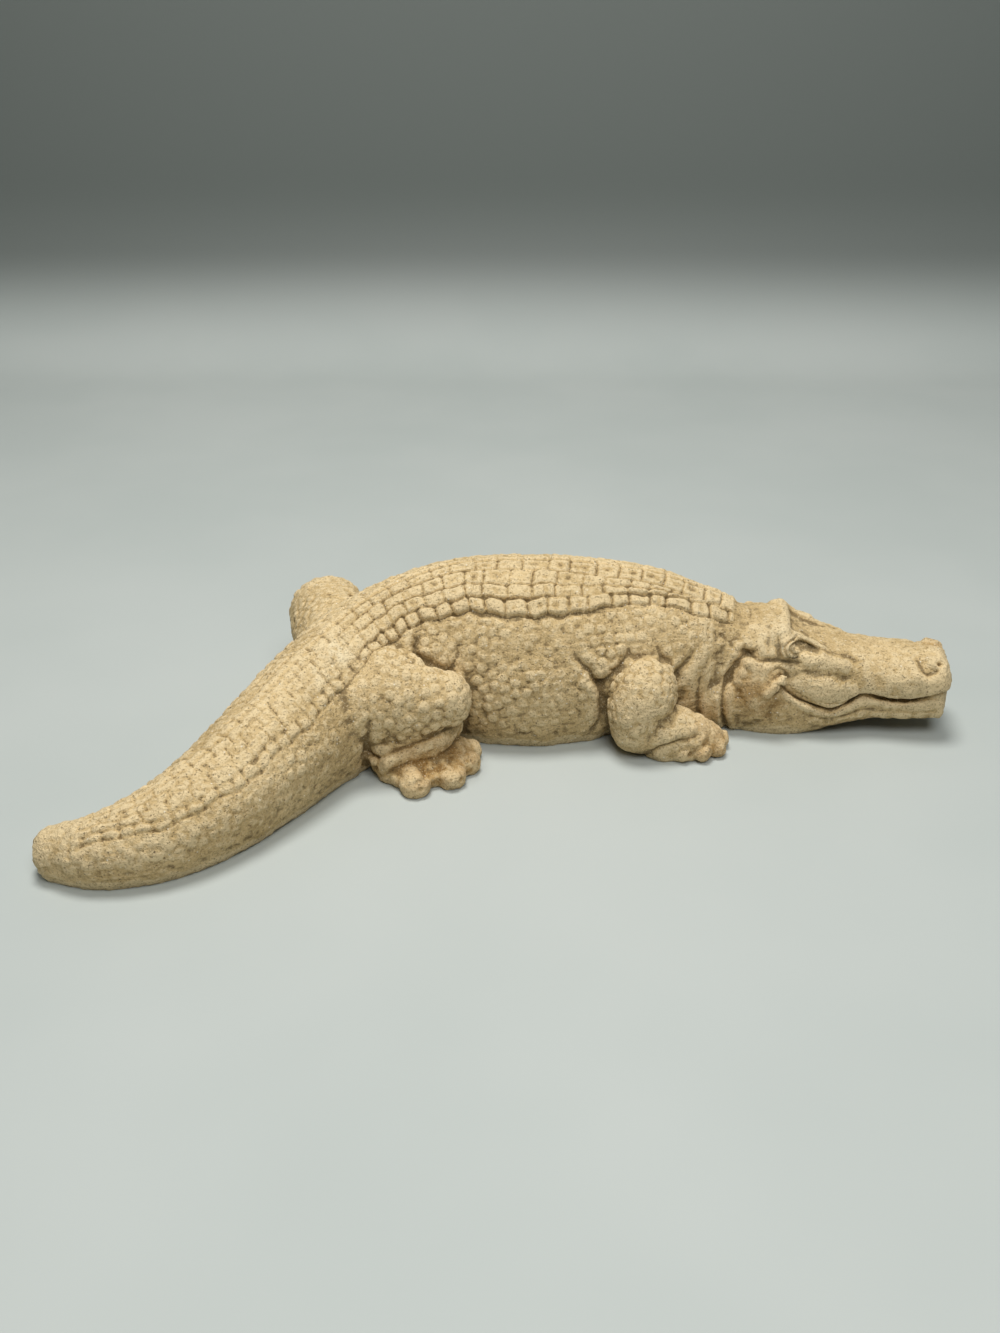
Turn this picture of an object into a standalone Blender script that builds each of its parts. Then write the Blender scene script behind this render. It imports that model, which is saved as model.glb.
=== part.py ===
"""An alligator garden statue, cast in one piece of sandy stone.

It lies flat on its belly with its head along +X and its tail swung to the -Y side. The figure is
blocked out in smooth swept lumps, fused into one skin, and carved by moving the points of that skin:
scutes, folds of skin, the mouth and the hollows under the brows.
Every place and size of the figure is in sketch units, of which its length holds about 360, and the
finished skin is scaled to its real length and set over the origin at the end.
"""

import math

import bmesh
import bpy
import numpy as np

LENGTH = 0.360  # metres along X, from the bend of the tail's tip to the end of the snout

SKIN = 1.3  # units between the points of the fused skin, before it is thinned
MOST_FACES = 9600  # triangles that the finished solid keeps
SOFTENINGS = 3  # rounds of smoothing over the joins between the lumps
RING_POINTS = 40
RINGS = 72
CUT_TOLERANCE = 0.02  # units from the ground at which a point counts as lying on it

STONE = (0.62, 0.49, 0.32, 1.0)

# The line of the back, from the tail's tip to the nape, as rows of
# x, y, height of the section's centre, half width, rise above the centre, drop below it.
# The drop runs below the ground, where the flat underside is cut.
SPINE = (
    (-157, -156.5, 9.5, 9.5, 9.0, 15.0),
    (-140, -158, 12.0, 13.0, 12.5, 18.0),
    (-121, -150, 14.5, 17.0, 16.0, 22.0),
    (-105, -134, 17.5, 20.0, 19.0, 26.0),
    (-91, -112, 21.0, 23.0, 22.5, 31.0),
    (-75.5, -85, 24.0, 26.0, 27.5, 35.0),
    (-54, -56.5, 26.5, 30.5, 33.5, 38.0),
    (-22, -40, 28.5, 36.5, 39.3, 42.0),
    (12, -35.5, 29.0, 39.0, 40.0, 44.0),
    (40, -34.5, 29.0, 38.0, 38.0, 42.0),
    (62, -34.5, 29.0, 34.5, 34.5, 40.0),
    (80, -36.5, 27.5, 28.5, 30.2, 36.0),
    (92, -37, 26.5, 23.0, 27.2, 32.0),
    (104, -39, 26.0, 20.0, 23.0, 28.0),
)

# The throat is as wide as the cheeks behind it, and the belly sags to both sides between the legs.
THROAT = ((86, -37, 16, 25.5, 15, 24), (96, -38, 16, 25, 15, 24), (108, -40, 16, 24, 14, 24))
BELLY = (
    (-20, -40, 22, 33, 30, 38),
    (-4, -39, 23, 38.5, 34, 40),
    (14, -37, 23, 41, 36, 44),
    (34, -36, 23, 38.5, 34, 40),
)

# Four rows of scutes lie on each side of the back. Each entry is a place along the spine rows
# and how far from the back's centre line, seen from above, the outer edge of each row runs there.
SCUTE_EDGES = (
    (0.0, 2.0, 4.0, 5.5, 8.0),
    (1.3, 2.8, 5.0, 7.5, 10.5),
    (2.2, 3.8, 7.0, 11.5, 14.5),
    (3.3, 4.2, 8.5, 13.0, 17.0),
    (4.8, 4.5, 10.0, 15.0, 19.0),
    (6.2, 5.0, 10.0, 15.0, 20.0),
    (7.0, 5.5, 12.5, 18.0, 23.0),
    (8.0, 7.0, 15.3, 21.0, 27.7),
    (9.0, 9.0, 14.2, 18.2, 23.7),
    (9.8, 8.3, 11.8, 14.5, 18.9),
    (10.6, 8.0, 9.8, 11.5, 16.2),
    (11.4, 7.6, 7.8, 8.0, 14.4),
    (12.8, 6.0, 6.1, 6.2, 11.0),
)
SCUTE_PITCH = ((0.0, 7.0), (3.0, 8.0), (6.0, 9.0), (8.0, 10.6), (9.5, 10.0), (11.0, 8.2), (13.0, 7.6))
SCUTE_SHIFT = (0.0, 0.35, 0.7, 0.05)
SCUTE_RISE = (1.8, 1.7, 1.7, 2.3)
SCUTE_EDGE = 1.8  # how far in from its border a scute reaches its full height
SCUTES_START = 4.0  # along the spine, where the rows start to rise on the tail's tip
SCUTES_END = 311.0  # and where they stop behind the head
TAIL_SHARE = 0.6  # of their full rise, that the scutes keep on the tail

# Folds of skin on each side: width and a line of distance along the spine, height and depth.
FLANK_FOLDS = (
    (1.8, ((239, 49, 0.2), (243, 42, 1.0), (248, 36, 1.9), (253, 30.5, 2.8), (259, 36, 1.9), (266, 43, 0.3))),
    (1.8, ((279, 46, 0.2), (283, 38, 1.4), (287.5, 29, 2.8), (291, 34, 1.9), (296, 42, 0.4))),
    (2.2, ((253, 31, 2.6), (253.5, 22, 2.6), (254, 14, 1.8), (249, 4, 0.6))),
    (1.6, ((299, 36, 0.2), (297, 31, 1.0), (296.5, 20, 1.9), (297, 8, 1.9), (297, 4, 1.2))),
    (2.0, ((168, 53, 0.3), (161, 46, 2.8), (167, 41, 1.9), (176, 37, 2.4), (181, 41, 1.4), (186, 48, 0.2))),
)
# Lines cut in each side of the head: width and a line of distance forward of the brows, height and depth.
MOUTH = (
    (2, 26, 1.0), (3.5, 23.4, 2.6), (10, 18.9, 3.0), (19, 14.8, 3.0), (24.6, 13.9, 3.0), (29.3, 16, 3.0),
    (33.8, 19.3, 3.0), (37.5, 20.2, 3.0), (43.2, 19.2, 3.0), (51.5, 18.2, 3.0), (59.3, 19.4, 3.0),
    (67.2, 22.0, 3.0), (74, 23.5, 3.0),
)
HEAD_FOLDS = (
    (1.3, MOUTH),
    (1.8, ((-10, 40, 1.0), (-14, 38.5, 2.4), (-18.5, 32, 2.8), (-21.8, 22, 3), (-21.8, 12, 3), (-19, 0, 2))),
    (1.5, ((-15, 39, 1.8), (-8, 37.6, 1.6), (-2, 36.6, 1.5), (5, 35.3, 1.2), (10, 35, 0.3))),
    (1.4, ((-9, 30.5, 0.2), (-5, 32.6, 0.8), (-1, 33.6, 1.3), (2, 32, 1.3), (3.5, 28.5, 1.0))),
)
LIP_RISE = 1.2  # how far the upper lip stands out over the mouth
# The hollow under each brow, in front of the eye: its width, and distance forward, outwards, height, depth.
HOLLOW_WIDTH = 2.2
HOLLOW = ((8.5, 18.5, 43.5, 2.6), (13, 18, 41, 2.6), (18, 17.5, 38, 1.2))

# The head stands on its own line, turned this far towards the -Y side.
HEAD_TURN = math.radians(-10)
HEAD_AT = (120.0, -40.0)

# Head sections: distance forward of the brows, sideways, height of the centre, half width, rise, drop.
UPPER_HEAD = (
    (-15, 0, 29, 20, 18.5, 20),
    (-5, 0, 29, 21, 18.5, 18),
    (3, 0, 28, 20.5, 16.0, 16),
    (10, 0, 27, 20, 13.4, 15),
    (20, 0, 26, 19.5, 12.6, 14),
    (30, 0, 25.3, 18.2, 11.6, 12),
    (42, 0, 25.2, 17.0, 10.6, 11.5),
    (54, 0, 25.4, 16.8, 10.0, 10.5),
    (66.5, 0, 26.0, 15.8, 9.4, 9.5),
)
CROWN_OF_HEAD = ((-15, 0, 39, 12, 9, 8), (-7, 0, 39.5, 14, 9, 8), (-1, 0, 38.5, 14, 8.3, 8))
LOWER_JAW = (
    (-8, 0, 17, 24.0, 17, 26),
    (2, 0, 15.5, 24.5, 13, 25),
    (12, 0, 14, 23, 9, 21),
    (26, 0, 13, 20.6, 8, 12.0),
    (40, 0, 14.2, 17.4, 7.5, 9.0),
    (54, 0, 14.2, 16.0, 7, 8.3),
    (68.5, 0, 15.2, 14.2, 7, 8.4),
)

# Round parts of the head, each given once and set on both sides: rows of distance forward, outwards,
# height and radius.
BROW = ((-13, 10, 40, 7), (-6, 12, 42, 6), (0, 14, 44, 3.8))
SNOUT_RIDGE = (
    (-1, 13, 42.3, 4),
    (7, 13.3, 39.2, 3.9),
    (14, 13.2, 36.6, 3.9),
    (23, 13, 33.4, 3.6),
    (32, 12.5, 30.2, 3),
)
UNDER_EYE = ((7, 12.5, 31.5, 6), (15, 13, 31, 6.5), (25, 12.3, 28.5, 6.5))
REAR_LIP = ((10, 16, 24, 5), (20, 16.2, 20.5, 6.2), (28, 14.8, 21, 5))
FRONT_LIP = ((40, 11, 26, 6), (54, 11.5, 26, 6.5), (64, 10, 28, 5.5))
TOOTH = ((3, 23.5, 28.5, 1.4), (0, 24.8, 25.5, 2.2), (-4, 25.5, 21.8, 2.6))
# Rounded lumps of the head: distance forward, outwards and height, and the radius each way.
CHEEK = ((-9, 14.5, 19), (13.5, 12.7, 19.5))
EYE = ((4.5, 13.5, 40.2), (6.2, 5.4, 5.6))
NOSTRIL = ((65, 9, 32), (4.5, 4.5, 4))

# The legs stand on the hips and shoulders, and their rows give distance ahead, outwards, height and radius.
HIPS = (-50.0, -55.0)
HIPS_HEADING = math.radians(36)
SHOULDERS = (62.0, -37.0)
SHOULDERS_HEADING = 0.0
# The haunch fills the bend between the near thigh and the tail.
HAUNCH = ((-36, 12, 28, 14), (-26, 18, 30, 16.5), (-14, 21, 31, 19))
NEAR_THIGH = ((-14, 12, 31, 20), (-9, 26, 29.5, 19), (-2, 34, 29.5, 15.8), (6, 41.5, 30.5, 11))
FAR_THIGH = ((-10, 12, 32, 20), (-4, 32, 32, 18.5), (3, 51.5, 33.5, 17.2))
FAR_SPREAD = 9.0  # how much further out the far lower hind leg stands
CALF = ((8, 37, 17.2, 8.8), (-3, 37, 14.8, 10.2), (-18, 33, 10.5, 9))
HIND_PALM = ((-17, 34.5, 4, 7), (-11, 40.5, 4.5, 9.5), (2, 44, 4.5, 9.8), (10, 40, 4.5, 9))
UPPER_ARM = ((-1, 20, 30, 10), (-2, 34, 27, 13), (-5, 37.5, 20, 12.5), (-5, 38, 12, 11))
FOREARM = ((-5, 37, 11, 11), (6, 38, 11, 11), (17, 38, 7.5, 9.5))
FORE_PALM = ((6, 39.5, 5, 9), (18, 37.5, 5, 9.5), (24, 36.5, 4.5, 8))
# Toes: where each starts and ends, ahead and outwards, and its thickness.
HIND_TOES = (
    ((-14, 39), (-17, 52.5), 5.6),
    ((-4, 42), (-1.8, 55.5), 5.8),
    ((4, 42), (8.5, 50.5), 5.0),
    ((7, 39), (15.5, 42.5), 4.6),
)
FORE_TOES = (
    ((9, 40), (13, 46.5), 3.6),
    ((14, 39), (22, 46), 4.2),
    ((16, 37), (29, 41.5), 4.4),
    ((16, 35), (31.5, 34.5), 4.0),
    ((16, 33), (29.5, 28.5), 3.4),
)
TOE_HEIGHTS = (5.0, 3.5)  # of a toe's middle, at its root and at its tip


def smooth_rows(rows, places):
    """Rows of numbers read at fractional places along them, on one smooth curve through them all."""
    rows = np.asarray(rows, float)
    padded = np.vstack([2 * rows[0] - rows[1], rows, 2 * rows[-1] - rows[-2]])
    first = np.clip(places.astype(int), 0, len(rows) - 2)
    share = (places - first)[:, None]
    before, here, after, beyond = (padded[first + k] for k in range(4))
    return 0.5 * (
        2 * here
        + (after - before) * share
        + (2 * before - 5 * here + 4 * after - beyond) * share**2
        + (3 * here - before - 3 * after + beyond) * share**3
    )


def read(what, attribute, width):
    """All the values of one attribute, as rows."""
    values = np.empty(len(what) * width, np.float32)
    what.foreach_get(attribute, values)
    return values.reshape(-1, width).astype(float)


class Clay:
    """The lumps that the figure is built up from, each pressed out of a round ball."""

    def __init__(self):
        ball = bmesh.new()
        bmesh.ops.create_uvsphere(ball, u_segments=RING_POINTS, v_segments=RINGS, radius=1.0)
        self.pressed = bpy.data.meshes.new("pressed")
        ball.to_mesh(self.pressed)
        ball.free()
        self.ball = read(self.pressed.vertices, "co", 3)
        self.whole = bmesh.new()

    def press(self, skin):
        self.pressed.vertices.foreach_set("co", skin.ravel())
        self.whole.from_mesh(self.pressed)

    def sweep(self, rows, squareness=2.0, crown=None, caps=(1.0, 1.0)):
        """A closed, round-ended lump whose sections follow the rows. A cap is as long as this many radii."""
        rows = np.asarray(rows, float)
        steps = np.linalg.norm(np.diff(rows[:, :3], axis=0), axis=1)
        reach = np.concatenate([[0.0], np.cumsum(steps)])
        radius = rows[:, 3:6].mean(axis=1)
        start, end = radius[0] * caps[0], radius[-1] * caps[1]
        place = -start + (reach[-1] + start + end) * np.arccos(np.clip(self.ball[:, 2], -1, 1)) / math.pi
        inside = np.clip(place, 0, reach[-1])

        def rows_at(shift):
            along = np.clip(inside + shift, 0, reach[-1])
            return smooth_rows(rows, np.interp(along, reach, np.arange(len(rows))))

        at = rows_at(0.0)
        forward = (rows_at(0.05) - rows_at(-0.05))[:, :3]
        forward /= np.linalg.norm(forward, axis=1, keepdims=True)
        side = np.cross(np.array([0.0, 0.0, 1.0]), forward)
        side /= np.linalg.norm(side, axis=1, keepdims=True)
        up = np.cross(forward, side)
        beyond = place - inside
        cap = np.where(beyond < 0, start, end)
        shrink = np.sqrt(np.clip(1 - (beyond / cap) ** 2, 0, 1))
        turn = np.arctan2(self.ball[:, 0], self.ball[:, 1])
        power = 2 / np.where(np.cos(turn) > 0, crown or squareness, squareness)
        across = np.sign(np.sin(turn)) * np.abs(np.sin(turn)) ** power * at[:, 3]
        height = np.sign(np.cos(turn)) * np.abs(np.cos(turn)) ** power
        height *= np.where(height > 0, at[:, 4], at[:, 5])
        skin = at[:, :3] + forward * beyond[:, None]
        self.press(skin + side * (across * shrink)[:, None] + up * (height * shrink)[:, None])

    def lump(self, centre, radii, turn=0.0):
        """A round lump with its own radius each way, turned about Z."""
        cosine, sine = math.cos(turn), math.sin(turn)
        x, y, z = (self.ball * radii).T
        self.press(np.stack([x * cosine - y * sine, x * sine + y * cosine, z], axis=1) + centre)


def head_point(forward, sideways, height):
    """A place on the head in the figure's own frame. Sideways is positive to the animal's left."""
    cosine, sine = math.cos(HEAD_TURN), math.sin(HEAD_TURN)
    return (
        HEAD_AT[0] + forward * cosine - sideways * sine,
        HEAD_AT[1] + forward * sine + sideways * cosine,
        height,
    )


def head_rows(rows):
    return [(*head_point(*row[:3]), *row[3:]) for row in rows]


def head_limb(side, rows):
    """Section rows of a round part of the head, on one side."""
    return [(*head_point(f, side * o, z), r, r, r) for f, o, z, r in rows]


def leg_rows(origin, heading, side, rows):
    """Section rows of a round part of a leg, from its girdle's place and heading, on one side."""
    cosine, sine = math.cos(heading), math.sin(heading)
    return [
        (origin[0] + a * cosine - side * o * sine, origin[1] + a * sine + side * o * cosine, z, r, r, r)
        for a, o, z, r in rows
    ]


def toe_rows(start, tip, thick):
    return (*start, TOE_HEIGHTS[0], thick), (*tip, TOE_HEIGHTS[1], thick * 0.9)


def block_trunk(clay):
    clay.sweep(SPINE, squareness=2.1, crown=1.8, caps=(0.9, 0.3))
    clay.sweep(THROAT)
    clay.sweep(BELLY, caps=(0.8, 0.6))
    clay.sweep(leg_rows(HIPS, HIPS_HEADING, -1, HAUNCH))


def block_head(clay):
    clay.sweep(head_rows(UPPER_HEAD), squareness=2.7, crown=2.4, caps=(0.8, 0.5))
    clay.sweep(head_rows(CROWN_OF_HEAD), squareness=2.6)
    clay.sweep(head_rows(LOWER_JAW), squareness=2.8, caps=(0.6, 0.4))
    for side in (-1, 1):
        for rows in (BROW, SNOUT_RIDGE, UNDER_EYE, REAR_LIP, FRONT_LIP, TOOTH):
            clay.sweep(head_limb(side, rows))
        for (forward, out, height), radii in (CHEEK, EYE, NOSTRIL):
            clay.lump(head_point(forward, side * out, height), radii, HEAD_TURN)


def block_hind(clay, side, spread, thigh):
    """A folded hind leg. The lower leg and its foot stand further out by the spread."""

    def rows(given):
        return leg_rows(HIPS, HIPS_HEADING, side, [(a, o + spread, z, r) for a, o, z, r in given])

    clay.sweep(leg_rows(HIPS, HIPS_HEADING, side, thigh), caps=(0.5, 0.85))
    clay.sweep(rows(CALF))
    clay.sweep(rows(HIND_PALM))
    for start, tip, thick in HIND_TOES:
        clay.sweep(rows(toe_rows(start, tip, thick)), caps=(0.5, 0.8))


def block_fore(clay, side):
    def rows(given):
        return leg_rows(SHOULDERS, SHOULDERS_HEADING, side, given)

    clay.sweep(rows(UPPER_ARM))
    clay.sweep(rows(FOREARM))
    clay.sweep(rows(FORE_PALM))
    for start, tip, thick in FORE_TOES:
        clay.sweep(rows(toe_rows(start, tip, thick)), caps=(0.5, 0.8))


def fused(clay):
    """One skin round all the lumps, softened over their joins."""
    rough = bpy.data.meshes.new("rough")
    clay.whole.to_mesh(rough)
    clay.whole.free()
    lump = bpy.data.objects.new("alligator_blocked", rough)
    bpy.context.scene.collection.objects.link(lump)
    remesh = lump.modifiers.new("fuse", "REMESH")
    remesh.mode = "VOXEL"
    remesh.voxel_size = SKIN
    soften = lump.modifiers.new("soften", "SMOOTH")
    soften.factor = 0.5
    soften.iterations = SOFTENINGS
    graph = bpy.context.evaluated_depsgraph_get()
    skin = bpy.data.meshes.new_from_object(lump.evaluated_get(graph))
    bpy.data.objects.remove(lump)
    return skin


class Spine:
    """The back's centre line, seen from above, and where each point of the skin lies along it."""

    def __init__(self, points):
        places = np.linspace(0, len(SPINE) - 1, 900)
        line = smooth_rows(SPINE, places)
        steps = np.linalg.norm(np.diff(line[:, :2], axis=0), axis=1)
        reach = np.concatenate([[0.0], np.cumsum(steps)])
        ahead = np.gradient(line[:, :2], axis=0)
        ahead /= np.linalg.norm(ahead, axis=1, keepdims=True)
        nearest = np.empty(len(points), int)
        for first in range(0, len(points), 4000):
            part = points[first : first + 4000, :2]
            apart = (part[:, None, 0] - line[None, :, 0]) ** 2 + (part[:, None, 1] - line[None, :, 1]) ** 2
            nearest[first : first + 4000] = apart.argmin(axis=1)
        out = points[:, :2] - line[nearest, :2]
        self.station = places[nearest]
        self.along = reach[nearest]
        self.off = ahead[nearest, 0] * out[:, 1] - ahead[nearest, 1] * out[:, 0]
        self.centre_height = line[nearest, 2]
        self.half_width = line[nearest, 3]
        pitch = np.interp(places, *zip(*SCUTE_PITCH))
        counts = np.concatenate([[0.0], np.cumsum(steps / pitch[1:])])
        self.count = counts[nearest]


def eased(share):
    share = np.clip(share, 0, 1)
    return share * share * (3 - 2 * share)


def from_line(places, line):
    """How far each place is from a line through points, and the last value that the line has there."""
    size = places.shape[1]
    least = np.full(len(places), np.inf)
    value = np.zeros(len(places))
    for start, end in zip(line, line[1:]):
        run = (end - start)[:size]
        share = np.clip(((places - start[:size]) @ run) / (run @ run), 0, 1)
        apart = np.linalg.norm(places - start[:size] - share[:, None] * run, axis=1)
        nearer = apart < least
        least = np.where(nearer, apart, least)
        value = np.where(nearer, start[-1] + share * (end[-1] - start[-1]), value)
    return least, value


def smooth_line(line, parts=5):
    """The same line, rounded through its points."""
    places = np.linspace(0, len(line) - 1, (len(line) - 1) * parts + 1)
    return smooth_rows(line, places)


def fold(places, width, line):
    apart, depth = from_line(places, smooth_line(line))
    return -depth * np.exp(-((apart / width) ** 2))


def scutes(points, spine):
    """How far the scutes stand up from each point."""
    edges = np.array(SCUTE_EDGES)
    rise = np.zeros(len(points))
    inner = np.zeros(len(points))
    off = np.abs(spine.off)
    for row in range(4):
        outer = np.interp(spine.station, edges[:, 0], edges[:, row + 1])
        phase = (spine.count + SCUTE_SHIFT[row]) % 1.0
        pitch = np.interp(spine.station, *zip(*SCUTE_PITCH))
        along = np.minimum(phase, 1 - phase) * pitch
        across = np.minimum(off - inner, outer - off)
        if row == 0:
            across = outer - off
        inside = (off >= inner) & (off < outer)
        rise += np.where(inside, SCUTE_RISE[row] * eased(np.minimum(along, across) / SCUTE_EDGE), 0)
        inner = outer
    rise *= eased((spine.along - SCUTES_START) / 14) * eased((SCUTES_END - spine.along) / 3)
    rise *= TAIL_SHARE + (1 - TAIL_SHARE) * eased((spine.along - 100) / 60)
    return np.where(points[:, 2] > spine.centre_height, rise, 0)


def head_frame(points):
    """Each point's distance forward of the brows, left of the head's line, and height."""
    cosine, sine = math.cos(HEAD_TURN), math.sin(HEAD_TURN)
    x, y = points[:, 0] - HEAD_AT[0], points[:, 1] - HEAD_AT[1]
    return np.stack([x * cosine + y * sine, -x * sine + y * cosine, points[:, 2]], axis=1)


def carve(points, spine):
    """How far each point moves out along its own normal."""
    head = head_frame(points)
    forward, left, height = head.T
    on_head = eased((forward + 24) / 4) * eased((31 - np.abs(left)) / 3)
    move = scutes(points, spine) * (1 - on_head)
    beside = np.abs(spine.off)
    flank = eased((beside - 8) / 5) * eased((spine.half_width + 4 - beside) / 3) * (1 - on_head)
    for width, line in FLANK_FOLDS:
        move += fold(np.stack([spine.along, height], axis=1), width, line) * flank
    cheek = on_head * eased((np.abs(left) - 5) / 4)
    for width, line in HEAD_FOLDS:
        move += fold(head[:, [0, 2]], width, line) * cheek
    # The upper lip hangs over the mouth.
    mouth = smooth_line(MOUTH)
    lip = np.interp(forward, mouth[:, 0], mouth[:, 1])
    along_lip = eased((forward + 1) / 5) * cheek
    move += LIP_RISE * eased((height - lip) / 1.2) * eased((lip + 9 - height) / 8) * along_lip
    apart, depth = from_line(np.abs(head), np.array(HOLLOW))
    return move - depth * np.exp(-((apart / HOLLOW_WIDTH) ** 2)) * eased(forward / 4)


def cut_flat(mesh):
    """Cuts the underside flat at the ground and closes it."""
    work = bmesh.new()
    work.from_mesh(mesh)
    cut = bmesh.ops.bisect_plane(
        work,
        geom=work.verts[:] + work.edges[:] + work.faces[:],
        plane_co=(0, 0, 0),
        plane_no=(0, 0, 1),
        dist=CUT_TOLERANCE,
        clear_inner=True,
    )
    edge = [e for e in cut["geom_cut"] if isinstance(e, bmesh.types.BMEdge)]
    bmesh.ops.holes_fill(work, edges=edge, sides=0)
    bmesh.ops.triangulate(work, faces=work.faces[:])
    for vertex in work.verts:
        if abs(vertex.co.z) < CUT_TOLERANCE:
            vertex.co.z = 0.0
    bmesh.ops.recalc_face_normals(work, faces=work.faces[:])
    work.to_mesh(mesh)
    work.free()


def stone():
    material = bpy.data.materials.new("cast_stone")
    material.use_nodes = True
    shader = material.node_tree.nodes["Principled BSDF"]
    shader.inputs["Base Color"].default_value = STONE
    shader.inputs["Roughness"].default_value = 0.92
    shader.inputs["Metallic"].default_value = 0.0
    return material


def main():
    for old in list(bpy.data.objects):
        bpy.data.objects.remove(old)
    clay = Clay()
    block_trunk(clay)
    block_head(clay)
    for side in (-1, 1):
        block_fore(clay, side)
    block_hind(clay, -1, 0.0, NEAR_THIGH)
    block_hind(clay, 1, FAR_SPREAD, FAR_THIGH)
    skin = fused(clay)
    points = read(skin.vertices, "co", 3)
    normals = read(skin.vertex_normals, "vector", 3)
    points += normals * carve(points, Spine(points))[:, None]
    skin.vertices.foreach_set("co", points.ravel())
    skin.update()
    cut_flat(skin)
    statue = bpy.data.objects.new("alligator", skin)
    bpy.context.scene.collection.objects.link(statue)
    thin = statue.modifiers.new("thin", "DECIMATE")
    thin.ratio = MOST_FACES / len(skin.polygons)
    graph = bpy.context.evaluated_depsgraph_get()
    thinned = bpy.data.meshes.new_from_object(statue.evaluated_get(graph))
    statue.modifiers.clear()
    statue.data = thinned
    points = read(thinned.vertices, "co", 3)
    points[:, 2] = np.maximum(points[:, 2], 0)
    low, high = points.min(axis=0), points.max(axis=0)
    middle = (low + high) / 2
    unit = LENGTH / (high[0] - low[0])
    points -= (middle[0], middle[1], 0)
    thinned.vertices.foreach_set("co", (points * unit).ravel())
    thinned.polygons.foreach_set("use_smooth", [True] * len(thinned.polygons))
    thinned.materials.append(stone())
    thinned.update()


main()
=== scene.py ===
import math

import bmesh
import bpy
import numpy as np
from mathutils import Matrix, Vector, kdtree


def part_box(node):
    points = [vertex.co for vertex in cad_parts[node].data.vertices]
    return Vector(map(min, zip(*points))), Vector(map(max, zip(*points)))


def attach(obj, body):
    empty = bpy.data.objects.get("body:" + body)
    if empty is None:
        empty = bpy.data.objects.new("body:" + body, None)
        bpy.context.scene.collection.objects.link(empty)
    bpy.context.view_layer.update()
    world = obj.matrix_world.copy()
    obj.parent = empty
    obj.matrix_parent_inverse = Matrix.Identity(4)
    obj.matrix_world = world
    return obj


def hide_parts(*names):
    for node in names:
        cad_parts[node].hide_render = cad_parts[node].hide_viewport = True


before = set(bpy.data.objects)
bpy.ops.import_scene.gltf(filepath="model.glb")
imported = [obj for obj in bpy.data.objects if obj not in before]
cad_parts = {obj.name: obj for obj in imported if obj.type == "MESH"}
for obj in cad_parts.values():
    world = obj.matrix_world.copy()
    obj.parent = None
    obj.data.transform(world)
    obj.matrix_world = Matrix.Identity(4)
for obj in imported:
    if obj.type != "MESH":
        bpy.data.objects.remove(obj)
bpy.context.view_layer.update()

# All places and sizes of the figure are in sketch units, of which its length holds about 360.
# The finished skin is scaled and set in the place of the CAD solid at the end.

SKIN = 0.6  # sketch units between the points of the fused skin
MOST_FACES = 196000
SOFTEN_ROUNDS = 4
BALL_ROUND = 64  # faces round and along the ball that each lump is pressed from
BALL_LONG = 110

# The line of the back, from the tail's tip to the nape, as rows of
# x, y, height of the section's centre, half width, rise above the centre, drop below it.
# The drop runs below the ground, where the flat underside is cut.
SPINE = (
    (-157, -156.5, 9.5, 9.5, 9.0, 15.0),
    (-140, -158, 12.0, 13.0, 12.5, 18.0),
    (-121, -150, 14.5, 17.0, 16.0, 22.0),
    (-105, -134, 17.5, 20.0, 19.0, 26.0),
    (-91, -112, 21.0, 23.0, 22.5, 31.0),
    (-75.5, -85, 24.0, 26.0, 27.5, 35.0),
    (-54, -56.5, 26.5, 30.5, 33.5, 38.0),
    (-22, -40, 28.5, 36.5, 39.3, 42.0),
    (12, -35.5, 29.0, 39.0, 40.0, 44.0),
    (40, -34.5, 29.0, 38.0, 38.0, 42.0),
    (62, -34.5, 29.0, 34.5, 34.5, 40.0),
    (80, -36.5, 27.5, 28.5, 30.2, 36.0),
    (92, -37, 26.5, 23.0, 27.2, 32.0),
    (104, -39, 26.0, 20.0, 23.0, 28.0),
)

# The throat is as wide as the cheeks behind it, and the belly sags to both sides between the legs.
THROAT = ((86, -37, 16, 25.5, 15, 24), (96, -38, 16, 25, 15, 24), (108, -40, 16, 24, 14, 24))
BELLY = (
    (-20, -40, 22, 33, 30, 38),
    (-4, -39, 23, 38.5, 34, 40),
    (14, -37, 23, 41, 36, 44),
    (34, -36, 23, 38.5, 34, 40),
)

# Four rows of scutes lie on each side of the back. Each entry is a place along the spine rows
# and how far from the back's centre line, seen from above, the outer edge of each row runs there.
SCUTE_EDGES = (
    (0.0, 2.0, 4.0, 5.5, 8.0),
    (1.3, 2.8, 5.0, 7.5, 10.5),
    (2.2, 3.8, 7.0, 11.5, 14.5),
    (3.3, 4.2, 8.5, 13.0, 17.0),
    (4.8, 4.5, 10.0, 15.0, 19.0),
    (6.2, 5.0, 10.0, 15.0, 20.0),
    (7.0, 5.5, 12.5, 18.0, 23.0),
    (8.0, 7.0, 15.3, 21.0, 27.7),
    (9.0, 9.0, 14.2, 18.2, 23.7),
    (9.8, 8.3, 11.8, 14.5, 18.9),
    (10.6, 8.0, 9.8, 11.5, 16.2),
    (11.4, 7.6, 7.8, 8.0, 14.4),
    (12.8, 6.0, 6.1, 6.2, 11.0),
)
# How long the scutes are at places along the spine rows, and the beads of the outermost row.
SCUTE_PITCH = ((0.0, 7.0), (3.0, 8.0), (6.0, 9.0), (8.0, 10.6), (9.5, 10.0), (11.0, 8.2), (13.0, 7.6))
BEAD_PITCH = ((0.0, 4.6), (4.0, 5.4), (5.8, 6.2), (7.0, 9.0), (9.0, 9.0), (13.0, 8.2))
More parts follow.
